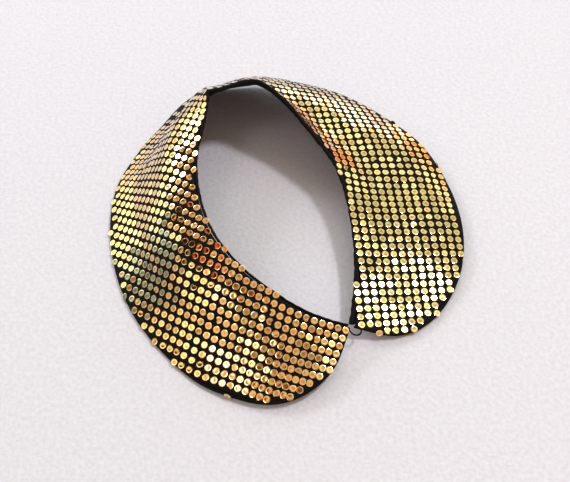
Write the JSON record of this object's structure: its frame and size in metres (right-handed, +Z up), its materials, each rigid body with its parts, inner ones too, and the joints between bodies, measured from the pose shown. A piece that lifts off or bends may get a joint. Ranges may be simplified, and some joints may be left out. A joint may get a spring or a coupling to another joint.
{
  "type": "detachable shirt collar",
  "caption": "Detachable flat collar faced with gold sequins, black lining and rolled neck edge, lying on its outer edge with the two rounded fronts nearly meeting",
  "frame": {"origin": "middle of the bounding box in X and Y, on the plane that the outer edge rests on", "axes": "+Z up; +Y from the fronts toward the back of the neck; +X to the right as the picture shows it, from the high front to the low front"},
  "size_m": [0.2084, 0.2362, 0.0514],
  "materials": {
    "sequin_cloth": "glossy gold discs on matt black cloth",
    "lining": "matt black woven lining",
    "neck_edge": "matt black turned edge",
    "thread": "black thread"
  },
  "bodies": {
    "root": {"top_collar": "sequin_cloth", "under_collar": "lining", "neck_band": "neck_edge", "thread_loop": "thread"}
  },
  "joints": []
}
